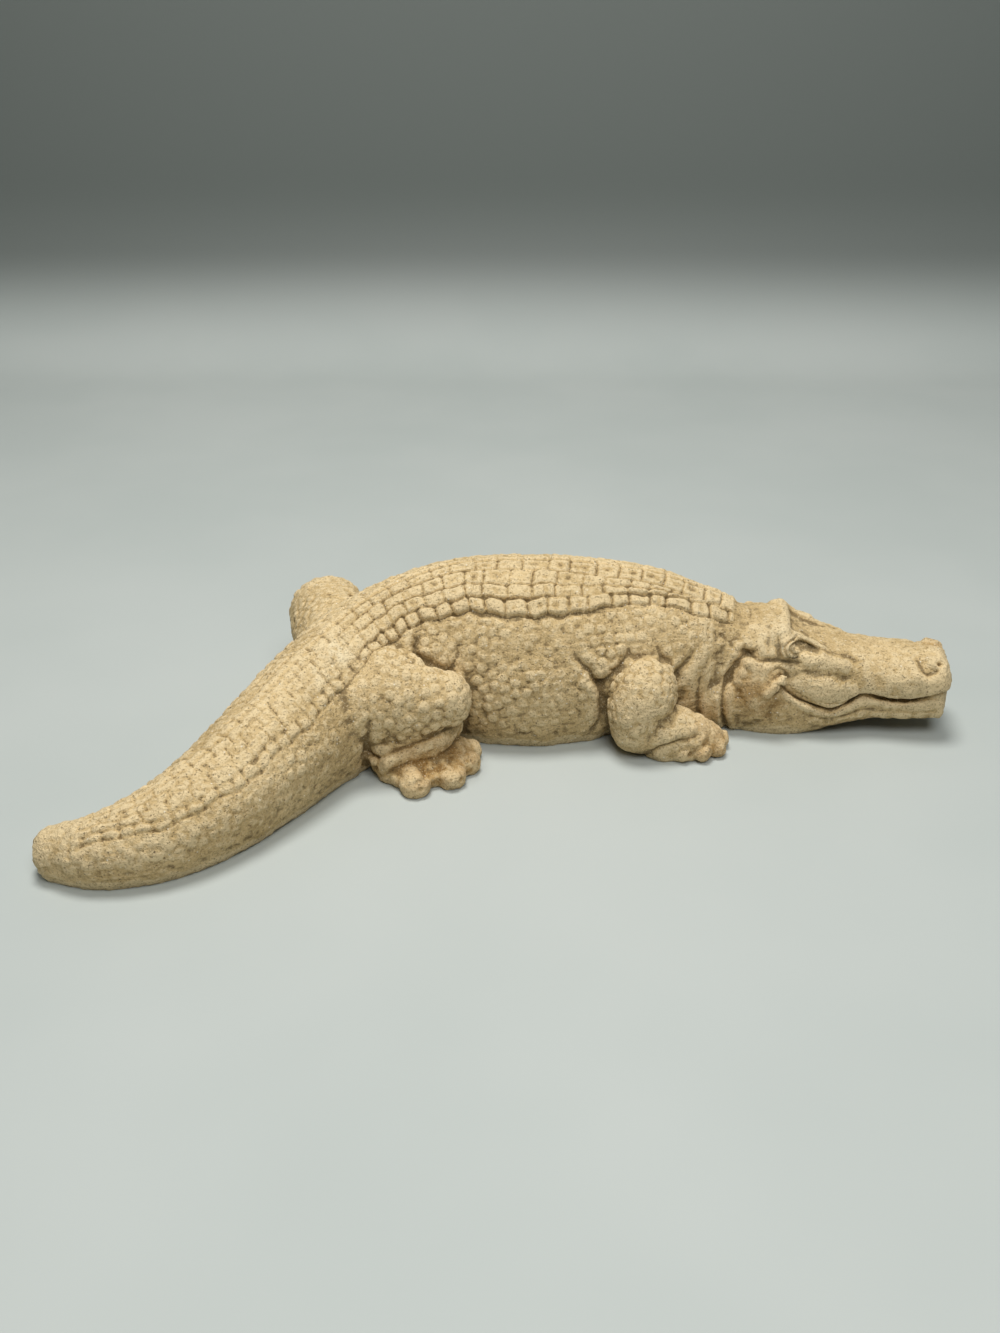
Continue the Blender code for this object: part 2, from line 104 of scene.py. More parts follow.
# For each row: how far the scutes are shifted against the next row's, as a share, and their height.
SCUTE_SHIFT = (0.0, 0.35, 0.7, 0.05)
SCUTE_RISE = (1.2, 1.1, 1.3, 1.7)
SCUTE_EDGE = (0.7, 0.7, 0.9, 1.3)  # how far in from its border a scute reaches its full height
SCUTE_GROOVE = ((1.5, 0.5), (1.4, 0.5), (1.2, 0.55), (1.6, 0.8))  # depth and width between neighbours
SCUTES_END = 314.0  # along the spine, where the rows stop behind the head
SCUTE_CORNER = 1.8  # how far in from its corner a scute is rounded off
SCUTE_PIT = (0.6, 1.5)  # depth and width of the pit worn in some scutes
PITTED_WIDTH = 4.5  # narrower scutes have no pit
BEAD_ROUNDING = (0.5, 2.4)  # how much lower the beads' borders are, and how far in
UNDERCUT = 0.15  # below the outermost row
DEEP_UNDERCUTS = ((0.9, 203, 10), (0.8, 236, 8))  # more depth, place along the spine and reach
CREST = (0.6, 2.0, 0.9)  # height, place off the centre line and width
PEBBLE_SPACING = 4.2

# Folds of skin on each side: width, how much the skin puffs up beside the fold, and a line of distance
# along the spine, height and depth.
FLANK_FOLDS = (
    (
        1.3,
        0.35,
        ((239, 49, 0.2), (243, 42, 1.0), (248, 36, 1.9), (253, 30.5, 2.8), (259, 36, 1.9), (266, 43, 0.3)),
    ),
    (1.3, 0.35, ((279, 46, 0.2), (283, 38, 1.4), (287.5, 29, 2.8), (291, 34, 1.9), (296, 42, 0.4))),
    (1.7, 0.25, ((253, 31, 2.6), (253.5, 22, 2.6), (254, 14, 1.8), (249, 4, 0.6))),
    (1.0, 0.3, ((299, 34, 0.2), (297, 30, 0.7), (296.5, 20, 1.3), (297, 8, 1.3), (297, 4, 0.8))),
    (1.0, 0.2, ((291.5, 27, 0.2), (291, 18, 0.5), (291, 10, 0.3))),
    (
        1.5,
        0.35,
        ((168, 53, 0.3), (161, 46, 2.8), (167, 41, 1.9), (176, 37, 2.4), (181, 41, 1.4), (186, 48, 0.2)),
    ),
)

# The head stands on its own line, turned this far towards the -Y side.
HEAD_TURN = math.radians(-10)
HEAD_AT = (120.0, -40.0)

# Head sections: distance forward of the brows, sideways, height of the centre, half width, rise, drop.
UPPER_HEAD = (
    (-15, 0, 29, 20, 18.5, 20),
    (-5, 0, 29, 21, 18.5, 18),
    (3, 0, 28, 20.5, 16.0, 16),
    (10, 0, 27, 20, 13.4, 15),
    (20, 0, 26, 19.5, 12.6, 14),
    (30, 0, 25.3, 18.2, 11.6, 12),
    (42, 0, 25.2, 17.0, 10.6, 11.5),
    (54, 0, 25.4, 16.8, 10.0, 10.5),
    (66.5, 0, 26.0, 15.8, 9.4, 9.5),
)
CROWN_OF_HEAD = (
    (-25, 0, 36.5, 16, 10, 9),
    (-15, 0, 38.5, 16.5, 8.8, 8),
    (-7, 0, 39.5, 16.5, 8.4, 8),
    (0, 0, 39.8, 16.5, 8.0, 8),
)
LOWER_JAW = (
    (-8, 0, 17, 24.0, 17, 26),
    (2, 0, 15.5, 24.5, 13, 25),
    (12, 0, 14, 23, 9, 21),
    (26, 0, 13, 20.6, 8, 12.0),
    (40, 0, 14.2, 17.4, 7.5, 9.0),
    (54, 0, 14.2, 16.0, 7, 8.3),
    (68.5, 0, 15.2, 14.2, 7, 8.4),
)
# Limbs of clay on the head: distance forward, sideways, height and radius.
FOREHEAD_STEP = ((0.6, -13, 44.0, 3.4), (0.8, 0, 44.6, 3.4), (0.6, 13, 44.0, 3.4))
BROW = ((-13, 9, 38, 7), (-6, 11, 39.6, 6.2), (1, 13.3, 43, 4.4))
BROW_RIDGE = (
    (-1, 12.5, 43.6, 3.6),
    (7, 12.4, 41.7, 2.9),
    (14, 12.2, 38.6, 2.7),
    (23, 12.2, 34.4, 2.6),
    (32, 12, 31, 2.5),
)
SWELLING_UNDER_EYE = ((7, 13, 32.3, 6), (15, 13.3, 32, 6.4), (25, 12.5, 29.6, 6.5))
LIP_LOBES = (
    ((10, 15.6, 25, 6.2), (20, 15.8, 22.6, 7.2), (28.5, 14.2, 23, 6.2)),
    ((40, 11, 26, 6), (54, 11.5, 26, 6.5), (64, 10, 28, 5.5)),
)
TOOTH = ((3, 23.5, 28.5, 1.2), (0, 24.8, 25.5, 2.2), (-4, 25.5, 21.8, 2.6))
# Round lumps on each side of the head: place and radii.
BROW_KNOB = ((3.0, 14.0, 39.4), (6.4, 5.8, 6.0))
CHEEK = ((-9, 14.5, 19), (13.5, 12.7, 19.5))
NOSTRIL_MOUND = ((65, 9, 32.0), (4.5, 4.5, 4.0))
NOSTRIL = ((66, 11.5, 35), 1.8, 3.4)  # place, width and depth of the hole
# Lines on each side of the head: distance forward of the brows, height and depth.
MOUTH = (
    (2, 26, 1.0), (3.5, 23.4, 2.6), (10, 18.9, 3.0), (19, 14.8, 3.0), (24.6, 13.9, 3.0), (29.3, 16, 3.0),
    (33.8, 19.3, 3.0), (37.5, 20.2, 3.0), (43.2, 19.2, 3.0), (51.5, 18.2, 3.0), (59.3, 19.4, 3.0),
    (67.2, 22.0, 3.0), (74, 23.5, 3.0),
)
LIP_LEDGE = (
    (3, 18, 0.1), (12, 12, 0.3), (22, 9.2, 0.6), (30, 10.5, 0.7), (38, 13.6, 0.7), (46, 12.8, 0.4),
    (60, 12.6, 0.3), (72, 14, 0.2),
)
# Folds on each side of the head: width, puff and line.
HEAD_FOLDS = (
    (
        1.15,
        0.25,
        (
            (-10, 38, 0.8),
            (-13.5, 36.5, 2.0),
            (-18.2, 31, 2.5),
            (-21.8, 22, 3.0),
            (-21.8, 12, 3.0),
            (-19, 0, 2.5),
        ),
    ),
    (1.0, 0.3, ((-15, 37.4, 1.8), (-8, 35.2, 1.8), (-2, 34.6, 1.8), (4.4, 34.0, 1.6), (9, 33.8, 0.6))),
    (0.8, 0.1, ((-5.6, 28.6, 0.1), (-3.3, 30.2, 0.4), (-0.7, 31.4, 0.7), (1.9, 30.8, 0.8), (3.9, 27.8, 1.2))),
    (0.9, 0.4, ((-5.3, 46, 0.3), (-5, 42, 0.9), (-5, 38, 0.8))),
    (0.9, 0.4, ((-1.2, 44, 0.6), (-0.8, 40, 1.0), (-0.5, 36.5, 0.8))),
    (1.0, 0.4, ((55.5, 36.5, 0.2), (57.5, 34, 0.9), (61, 31.2, 1.4), (65, 32.4, 1.0))),
)

# The hollow in front of the eye, under the ridge, runs out in a crease towards the snout.
EYE_HOLLOW = (1.8, 0.1, ((5, 45, 1.0), (8, 42.2, 3.2), (11.5, 40.2, 3.4), (15, 38.8, 1.4)))
SNOUT_CREASE = (1.0, 0.3, ((13, 39.8, 0.8), (18, 38.6, 1.4), (24, 37, 1.4), (31, 34.7, 0.9), (34, 33.6, 0.2)))

# Each eye: the dark hole between the lids, forward of the brows and in height, and the lids round it.
EYE_HOLE = (7.4, 40.0)
EYE_HOLE_DEPTH = 4.6
LID_PITCH = 2.25  # from the crest of one lid to the next
LID_HEIGHT = 0.85
LIDS_REACH = 7.0

# The girdles that the legs are placed from, and the rows of the thighs.
HIPS = (-50.0, -55.0)
HIPS_HEADING = math.radians(36)
SHOULDERS = (62.0, -37.0)
HAUNCH = ((-36, 12, 28, 14), (-26, 19, 28, 17.2), (-14, 22.5, 29, 19))
NEAR_THIGH = ((-14, 12, 31, 20), (-9, 26, 29.5, 19), (-2, 34, 29.5, 15.8), (6, 41.5, 30.5, 11))
FAR_THIGH = ((-10, 12, 32, 20), (-4, 32, 32, 18.5), (3, 51.5, 33.5, 17.2))
FAR_SPREAD = 9.0  # how much further out the far lower hind leg stands
# Parts of the legs: distance ahead of the girdle, outwards, height, and one radius or three.
LOWER_HIND = ((5, 37.2, 17, 8.6), (-5, 38, 14, 9.8), (-20, 34, 9.5, 8.0))
HIND_PALM = (
    (-17, 35.5, 4, 8, 5, 7),
    (-11, 41.5, 4.5, 11, 5.4, 9),
    (2, 45, 4.5, 11, 5.8, 9),
    (8, 40.5, 4.5, 9, 6.5, 9),
)
UPPER_FORE = ((-1, 20, 30, 10), (-2, 34, 27.0, 13), (-5, 37.5, 20, 12.5), (-5, 38, 12, 11))
LOWER_FORE = ((-5, 37, 11, 11), (6, 38, 11, 11), (17, 38, 7.5, 9.5))
FORE_PALM = ((6, 39.5, 5, 9), (17, 38, 5, 9.8), (23, 37, 4.8, 8.4))
# Toes: where each starts and ends, ahead of and outwards from the girdle, and its thickness.
HIND_TOES = (
    ((-14, 39), (-17, 52.5), 5.6),
    ((-4, 42), (-1.8, 55.5), 5.8),
    ((4, 42), (9.6, 51.2), 5.0),
    ((7, 39), (16, 43), 4.8),
)
FORE_TOES = (
    ((9, 40), (14, 46.3), 4.2),
    ((14, 39), (22, 45.6), 4.6),
    ((16, 37), (28.5, 41.3), 5.0),
    ((16, 35), (30.8, 34.5), 4.8),
    ((16, 33), (29, 28.5), 3.8),
)

TOE_HEIGHTS = (4, 6, 3.5)  # where a hind toe and a fore toe start, and where both end
FORE_TOE_TAPER = 0.85
TOE_PIT = (1.5, 1.2)  # depth and width of the worn pit at the end of a toe
TOE_RIM = (0.7, 2.6)  # height and width of the rim round it

# Creases on the legs: width, puff, and a line of distance ahead of the girdle, height and depth.
HIND_FOLDS = (
    (
        1.2,
        0.25,
        ((5, 21, 0.2), (1, 20, 1.4), (-6, 19, 2.0), (-16.7, 16.2, 2.2), (-27, 12.5, 1.8), (-31, 9.5, 0.6)),
    ),
    (
        1.0,
        0.25,
        ((-22, 6, 0.3), (-17.7, 7.2, 1.0), (-4.8, 8.6, 1.3), (4, 10.2, 1.3), (8, 13, 1.1), (10, 17, 0.5)),
    ),
)
TAIL_FOLD = (1.5, 0.25, ((-27.6, 36, 0.2), (-28, 30, 1.2), (-28.5, 22, 2.0), (-27, 12, 2.4), (-27, 4, 2.0)))
WRIST_FOLD = (
    1.0,
    0.3,
    ((0, 5, 0.4), (2.2, 7, 1.0), (5.5, 9, 1.4), (11.7, 11, 1.3), (18.6, 11.8, 0.8), (22, 12.5, 0.2)),
)

# The unevenness of a rough casting: height, size of the bumps and seed.
CASTING = ((0.16, 7, 4), (0.12, 3.2, 5), (0.08, 1.8, 6))

# How many times the skin is smoothed to tell its hollows, the fine and the broad ones.
RELIEF_ROUNDS = (5, 24)

# Colours as they look on screen, from 0 to 255.
SAND = (203, 176, 126)
PALE_SAND = (224, 198, 149)
DARK_SAND = (172, 145, 98)
# Dirt and painted shade, laid in hollows, on undersides and near the ground.
DIRT_AND_SHADE = (96, 78, 48)
# Paler wear with a painted highlight, laid on what stands out.
WORN_HIGHLIT_TOP = (240, 219, 176)
CREAM = (246, 232, 196)
OCHRE = (166, 122, 58)
BROWN_GRAIN = (130, 104, 66)
LIGHT_GRAIN = (242, 222, 182)
BLACK_SPECK = (72, 56, 42)
WHITE_SPECK = (250, 244, 226)
TABLE = (181, 188, 184)
PALE_TABLE = (187, 193, 189)
# Painted shade on the backdrop, darker than the table top.
SHADED_BACKDROP = (108, 114, 110)

# The camera, as the photo was taken.
ELEVATION = math.radians(28.0)
DISTANCE = 573.0  # sketch units from the point on the ground that the photo is centred on
FOCAL_PIXELS = 1207.1
PHOTO_HEIGHT = 1333.0
SENSOR = 36.0

# The table top and the lights, in metres and watts.
TABLE_REACH = 2.0
SWEEP_START = 0.6  # behind the statue, where the table top starts to curve up
SWEEP_RADIUS = 0.14
SHADED_BACKDROP_HEIGHT = 0.09  # where the curve has turned fully to the backdrop's painted shade
OVERHEAD = ((-0.1, 0.12, 1.3), (0, 0.02, 0), 0.5, 12.5, (1.0, 0.985, 0.96))
FRONT_FILL = ((0.2, -0.75, 1.35), (0, 0, 0.02), 0.9, 12, (1, 1, 1))
ROOM_TINT = (0.92, 0.96, 1.0, 1.0)
ROOM_STRENGTH = 0.06

random = np.random.default_rng(7)


def smooth_rows(rows, places):
    """Rows of numbers read at fractional places along them, on one smooth curve through them all."""
    rows = np.asarray(rows, float)
    padded = np.vstack([2 * rows[0] - rows[1], rows, 2 * rows[-1] - rows[-2]])
    first = np.clip(places.astype(int), 0, len(rows) - 2)
    share = (places - first)[:, None]
    before, here, after, beyond = (padded[first + k] for k in range(4))
    return 0.5 * (
        2 * here
        + (after - before) * share
        + (2 * before - 5 * here + 4 * after - beyond) * share**2
        + (3 * here - before - 3 * after + beyond) * share**3
    )


class Clay:
    """The lumps that the figure is built up from, each pressed out of a round ball."""

    def __init__(self):
        ball = bmesh.new()
        bmesh.ops.create_uvsphere(ball, u_segments=BALL_ROUND, v_segments=BALL_LONG, radius=1.0)
        self.ball = bpy.data.meshes.new("clay_ball")
        ball.to_mesh(self.ball)
        ball.free()
        self.unit_ball = read(self.ball.vertices, "co", 3)
        self.pressed = self.ball.copy()
        self.whole = bmesh.new()

    def press(self, skin):
        self.pressed.vertices.foreach_set("co", skin.ravel())
        self.whole.from_mesh(self.pressed)

    def sweep(self, rows, squareness=2.0, crown=None, caps=(1.0, 1.0)):
        """A closed, round-ended lump whose sections follow the rows. A cap is as long as this many radii."""
        rows = np.asarray(rows, float)
        ball = self.unit_ball
        reach = np.concatenate([[0.0], np.cumsum(np.linalg.norm(np.diff(rows[:, :3], axis=0), axis=1))])
        radius = rows[:, 3:6].mean(axis=1)
        start, end = radius[0] * caps[0], radius[-1] * caps[1]
        place = -start + (reach[-1] + start + end) * np.arccos(np.clip(ball[:, 2], -1, 1)) / math.pi
        inside = np.clip(place, 0, reach[-1])
        row = np.arange(len(rows))
        at = smooth_rows(rows, np.interp(inside, reach, row))
        behind = smooth_rows(rows, np.interp(np.clip(inside - 0.05, 0, reach[-1]), reach, row))
        ahead = smooth_rows(rows, np.interp(np.clip(inside + 0.05, 0, reach[-1]), reach, row))
        forward = (ahead - behind)[:, :3]
        forward /= np.linalg.norm(forward, axis=1, keepdims=True)
        side = np.cross(np.array([0.0, 0.0, 1.0]), forward)
        side /= np.linalg.norm(side, axis=1, keepdims=True)
        up = np.cross(forward, side)
        beyond = place - inside
        cap = np.where(beyond < 0, start, end)
        shrink = np.sqrt(np.clip(1 - (beyond / cap) ** 2, 0, 1))
        turn = np.arctan2(ball[:, 0], ball[:, 1])
        power = 2 / np.where(np.cos(turn) > 0, crown or squareness, squareness)
        across = np.sign(np.sin(turn)) * np.abs(np.sin(turn)) ** power * at[:, 3]
        height = np.sign(np.cos(turn)) * np.abs(np.cos(turn)) ** power
        height *= np.where(height > 0, at[:, 4], at[:, 5])
        skin = at[:, :3] + forward * beyond[:, None]
        self.press(skin + side * (across * shrink)[:, None] + up * (height * shrink)[:, None])

    def lump(self, centre, radii, turn=0.0):
        """A round lump with its own radius each way, turned about Z."""
        cosine, sine = math.cos(turn), math.sin(turn)
        x, y, z = (self.unit_ball * radii).T
        self.press(np.stack([x * cosine - y * sine, x * sine + y * cosine, z], axis=1) + centre)


def read(what, attribute, width):
    """Numbers kept on part of a mesh, as rows of this width."""
    values = np.empty(len(what) * width, np.float32)
    what.foreach_get(attribute, values)
    return values.reshape(-1, width).astype(float)


def head_point(forward, sideways, height):
    """A place on the head in the figure's own frame. Sideways is positive to the far side."""
    cosine, sine = math.cos(HEAD_TURN), math.sin(HEAD_TURN)
    return (
        HEAD_AT[0] + forward * cosine - sideways * sine,
        HEAD_AT[1] + forward * sine + sideways * cosine,
        height,
    )


def head_rows(rows):
    return [(*head_point(*row[:3]), *row[3:]) for row in rows]


def head_limb(rows, side):
    """Rows for a round limb of clay on one side of the head."""
    return [(*head_point(row[0], side * row[1], row[2]), row[3], row[3], row[3]) for row in rows]


def head_lump(clay, lump, side):
    (forward, out, height), radii = lump
    clay.lump(head_point(forward, side * out, height), radii, HEAD_TURN)


def leg_rows(origin, heading, side, rows):
    """Rows of ahead, outward, height and radii, from a girdle's place and heading, on one side."""
    cosine, sine = math.cos(heading), math.sin(heading)
    placed = []
    for ahead, outward, height, *radii in rows:
        x = origin[0] + ahead * cosine - side * outward * sine
        y = origin[1] + ahead * sine + side * outward * cosine
        placed.append((x, y, height, *(radii * 3 if len(radii) == 1 else radii)))
    return placed


def leg_frame(points, origin, heading, side):
    """Each point's distance ahead of a girdle and outwards from it, and its height."""
    cosine, sine = math.cos(heading), math.sin(heading)
    x, y = points[:, 0] - origin[0], points[:, 1] - origin[1]
    return np.stack([x * cosine + y * sine, side * (y * cosine - x * sine), points[:, 2]], axis=1)


def block_trunk(clay):
    clay.sweep(SPINE, squareness=2.1, crown=1.8, caps=(0.9, 0.3))
    clay.sweep(THROAT)
    # The haunch fills the bend between the near thigh and the tail.
    clay.sweep(leg_rows(HIPS, HIPS_HEADING, -1, HAUNCH))
    clay.sweep(BELLY, caps=(0.8, 0.6))


def block_head(clay):
    clay.sweep(head_rows(UPPER_HEAD), squareness=2.7, crown=2.4, caps=(0.8, 0.5))
    clay.sweep(head_rows(LOWER_JAW), squareness=2.8, caps=(0.6, 0.4))
    clay.sweep(head_rows(CROWN_OF_HEAD), squareness=2.3, caps=(1.0, 0.4))
    # The forehead drops from a blunt step that runs from brow to brow.
    clay.sweep(head_limb(FOREHEAD_STEP, 1))
    for side in (-1, 1):
        head_lump(clay, BROW_KNOB, side)
        head_lump(clay, CHEEK, side)
        # The brow overhangs the eye in a point, and a ridge runs from it to the snout.
        clay.sweep(head_limb(BROW, side), caps=(1, 0.6))
        clay.sweep(head_limb(BROW_RIDGE, side))
        clay.sweep(head_limb(SWELLING_UNDER_EYE, side))
        for lobe in LIP_LOBES:
            clay.sweep(head_limb(lobe, side))
        head_lump(clay, NOSTRIL_MOUND, side)
        # One tooth stands out at the corner of the mouth.
        clay.sweep(head_limb(TOOTH, side))


def block_hind(clay, side, spread, thigh):
    """A folded hind leg. The lower leg and its foot stand further out by the spread."""

    def placed(rows):
        spread_rows = [(ahead, out + spread, *rest) for ahead, out, *rest in rows]
        return leg_rows(HIPS, HIPS_HEADING, side, spread_rows)

    clay.sweep(leg_rows(HIPS, HIPS_HEADING, side, thigh), caps=(0.5, 0.85))
    clay.sweep(placed(LOWER_HIND))
    clay.sweep(placed(HIND_PALM))
    low, _, end = TOE_HEIGHTS
    for start, tip, thick in HIND_TOES:
        clay.sweep(placed(((*start, low, thick), (*tip, end, thick))), caps=(0.5, 0.8))


def block_fore(clay, side):
    for rows in (UPPER_FORE, LOWER_FORE, FORE_PALM):
        clay.sweep(leg_rows(SHOULDERS, 0.0, side, rows))
    _, low, end = TOE_HEIGHTS
    for start, tip, thick in FORE_TOES:
        rows = ((*start, low, thick), (*tip, end, thick * FORE_TOE_TAPER))
        clay.sweep(leg_rows(SHOULDERS, 0.0, side, rows), caps=(0.5, 0.8))


def fused(clay):
    """All the lumps as one closed skin."""
    rough = bpy.data.meshes.new("rough_figure")
    clay.whole.to_mesh(rough)
    clay.whole.free()
    lump = bpy.data.objects.new("figure_blocked", rough)
    bpy.context.scene.collection.objects.link(lump)
    remesh = lump.modifiers.new("fuse", "REMESH")
    remesh.mode = "VOXEL"
    remesh.voxel_size = SKIN
    soften = lump.modifiers.new("soften", "SMOOTH")
    soften.factor = 0.5
    soften.iterations = SOFTEN_ROUNDS
    graph = bpy.context.evaluated_depsgraph_get()
    skin = bpy.data.meshes.new_from_object(lump.evaluated_get(graph))
    bpy.data.objects.remove(lump)
    return skin


class Spine:
    """The back's centre line, seen from above, and where each point of the skin lies along it."""

    def __init__(self, points):
        places = np.linspace(0, len(SPINE) - 1, 900)
        line = smooth_rows(SPINE, places)
        steps = np.linalg.norm(np.diff(line[:, :2], axis=0), axis=1)
        reach = np.concatenate([[0.0], np.cumsum(steps)])
        ahead = np.gradient(line[:, :2], axis=0)
        ahead /= np.linalg.norm(ahead, axis=1, keepdims=True)
        nearest = np.empty(len(points), int)
        for first in range(0, len(points), 4000):
            part = points[first : first + 4000, :2]
            apart = (part[:, None, 0] - line[None, :, 0]) ** 2 + (part[:, None, 1] - line[None, :, 1]) ** 2
            nearest[first : first + 4000] = apart.argmin(axis=1)
        out = points[:, :2] - line[nearest, :2]
        self.station = places[nearest]
        self.along = reach[nearest]
        self.off = ahead[nearest, 0] * out[:, 1] - ahead[nearest, 1] * out[:, 0]
        self.centre_height = line[nearest, 2]
        self.half_width = line[nearest, 3]
        self.count = self.counted(places, steps, SCUTE_PITCH)[nearest]
        self.beads = self.counted(places, steps, BEAD_PITCH)[nearest]

    def counted(self, places, steps, pitches):
        pitch = np.interp(places, *zip(*pitches))
        return np.concatenate([[0.0], np.cumsum(steps / pitch[1:])])


def eased(share):
    share = np.clip(share, 0, 1)
    return share * share * (3 - 2 * share)


def bell(value, width):
    """One where the value is nothing, falling softly away on both sides."""
    return np.exp(-((value / width) ** 2))


def from_line(places, line):
    """How far each place is from a line through points, and the last value that the line has there."""
    size = places.shape[1]
    line = np.array(line, float)
    least = np.full(len(places), np.inf)
    value = np.zeros(len(places))
    for start, end in zip(line, line[1:]):
        run = (end - start)[:size]
        share = np.clip(((places - start[:size]) @ run) / (run @ run), 0, 1)
        apart = np.linalg.norm(places - start[:size] - share[:, None] * run, axis=1)
        nearer = apart < least
        least = np.where(nearer, apart, least)
        value = np.where(nearer, start[-1] + share * (end[-1] - start[-1]), value)
    return least, value


def smooth_line(line, parts=5):
    """The same line, rounded through its points."""
    places = np.linspace(0, len(line) - 1, (len(line) - 1) * parts + 1)
    return smooth_rows(np.array(line, float), places)


def fold(places, width, puff, line):
    """A sharp crease with the skin puffed up a little on both sides of it."""
    apart, depth = from_line(places, smooth_line(line))
    swell = bell(apart - 3.0 * width, 1.8 * width)
    return depth * (puff * swell - np.exp(-((apart / width) ** 1.4)))


def unevenness(points, size, seed, count=14):
    """A soft random rise and fall over the points, about -1 to 1, with bumps of about this size."""
    waves = np.random.default_rng(seed)
    value = np.zeros(len(points))
    for _ in range(count):
        way = waves.normal(size=3)
        way *= 2 * math.pi / (size * (0.7 + 0.8 * waves.random()) * np.linalg.norm(way))
        value += np.sin(points @ way + waves.random() * 2 * math.pi)
    return value / 3.7


def chance(first, second, seed):
    """An even random number from 0 to 1 for each pair of whole numbers."""
    value = np.sin(first * 12.9898 + second * 78.233 + seed * 37.719) * 43758.5453
    return value - np.floor(value)


def scutes(points, spine):
    """How far the scutes stand up from each point, and where their outermost edge runs."""
    edges = np.array(SCUTE_EDGES)
    rise = np.zeros(len(points))
    inner = np.zeros(len(points))
    off = np.abs(spine.off)
    side = np.where(spine.off < 0, 1, 2)
    # The rows run a little unevenly, and differently on the two sides.
    wobble = 0.4 * np.sin(spine.along * 0.21 + side) + 0.3 * np.sin(spine.along * 0.53 + 2 * side)
    # The borders between the rows are worn nearly flush in places, and more so on the tail.
    flush = 0.45 + 0.4 * unevenness(points, 34, 8) + 0.1 * (1 - eased((spine.along - 120) / 60))
    flush = np.clip(flush, 0.05, 0.8)
    for row in range(4):
        outer = np.interp(spine.station, edges[:, 0], edges[:, row + 1]) + wobble * (row > 0)
        beads = row == 3
        count = (spine.beads if beads else spine.count) + SCUTE_SHIFT[row] + 0.13 * side * (row > 0)
        count = count + 0.07 * np.sin(spine.along * 0.37 + row) + 0.02 * off * (row < 2)
        which = np.floor(count)
        phase = count - which
        pitch = np.interp(spine.station, *zip(*(BEAD_PITCH if beads else SCUTE_PITCH)))
        along = np.minimum(phase, 1 - phase) * pitch
        across = outer - off if row == 0 else np.minimum(off - inner, outer - off)
        inside = (off >= inner) & (off < outer)
        own = 0.75 + 0.5 * chance(which, row * 2 + side, 1)
        worn = 0.45 + 0.75 * chance(np.round(count), row * 2 + side, 3)
        corner = np.clip(SCUTE_CORNER - along, 0, SCUTE_CORNER)
        corner *= np.clip(SCUTE_CORNER - across, 0, SCUTE_CORNER)
        corner *= 0.15 + 0.15 * beads
        block = (flush + (1 - flush) * eased((across - corner) / SCUTE_EDGE[row])) * own
        if beads:
            block *= eased((outer - off) / SCUTE_EDGE[row]) * (1 - 0.45 * eased((spine.along - 250) / 20))
        depth, width = SCUTE_GROOVE[row]
        groove = depth * worn * np.exp(-((along / width) ** 1.5))
        groove *= 1.1 - 0.1 * eased((spine.along - 90) / 60)
        # Some scutes have a pit worn in the middle, and the outermost row is rounded like beads.
        middle = np.hypot((phase - 0.5) * pitch, off - (inner + outer) / 2)
        pitted = chance(which, row * 2 + side, 2) > 0.5
        pit = SCUTE_PIT[0] * bell(middle, SCUTE_PIT[1]) * pitted * (outer - inner > PITTED_WIDTH)
        border = np.clip(1 - np.minimum(along, across) / BEAD_ROUNDING[1], 0, 1)
        round_off = BEAD_ROUNDING[0] * border**2 * beads
        rise += np.where(inside, SCUTE_RISE[row] * block - pit - groove - round_off, 0)
        inner = outer
    # The lowest row overhangs the flank with a dark undercut line below it.
    under = np.full(len(points), UNDERCUT)
    for depth, place, reach in DEEP_UNDERCUTS:
        under += depth * bell(spine.along - place, reach)
    rise -= under * bell(off - inner - 0.4, 0.7) * eased((spine.station - 5.6) / 1.2)
    # A low crest runs on each side of a shallow furrow down the middle of the back.
    height, place, width = CREST
    rise += height * bell(off - place, width) - height * bell(off, width)
    rise *= eased((spine.along - 2) / 16) * eased((SCUTES_END - spine.along) / 3)
    # The carving is shallower on the tail.
    rise *= 0.42 + 0.58 * eased((spine.along - 100) / 70)
    return np.where(points[:, 2] > spine.centre_height, rise, 0), inner


def head_frame(points):
    """Each point's distance forward of the brows, to the far side of the head's line, and height."""
    cosine, sine = math.cos(HEAD_TURN), math.sin(HEAD_TURN)
    x, y = points[:, 0] - HEAD_AT[0], points[:, 1] - HEAD_AT[1]
    return np.stack([x * cosine + y * sine, -x * sine + y * cosine, points[:, 2]], axis=1)


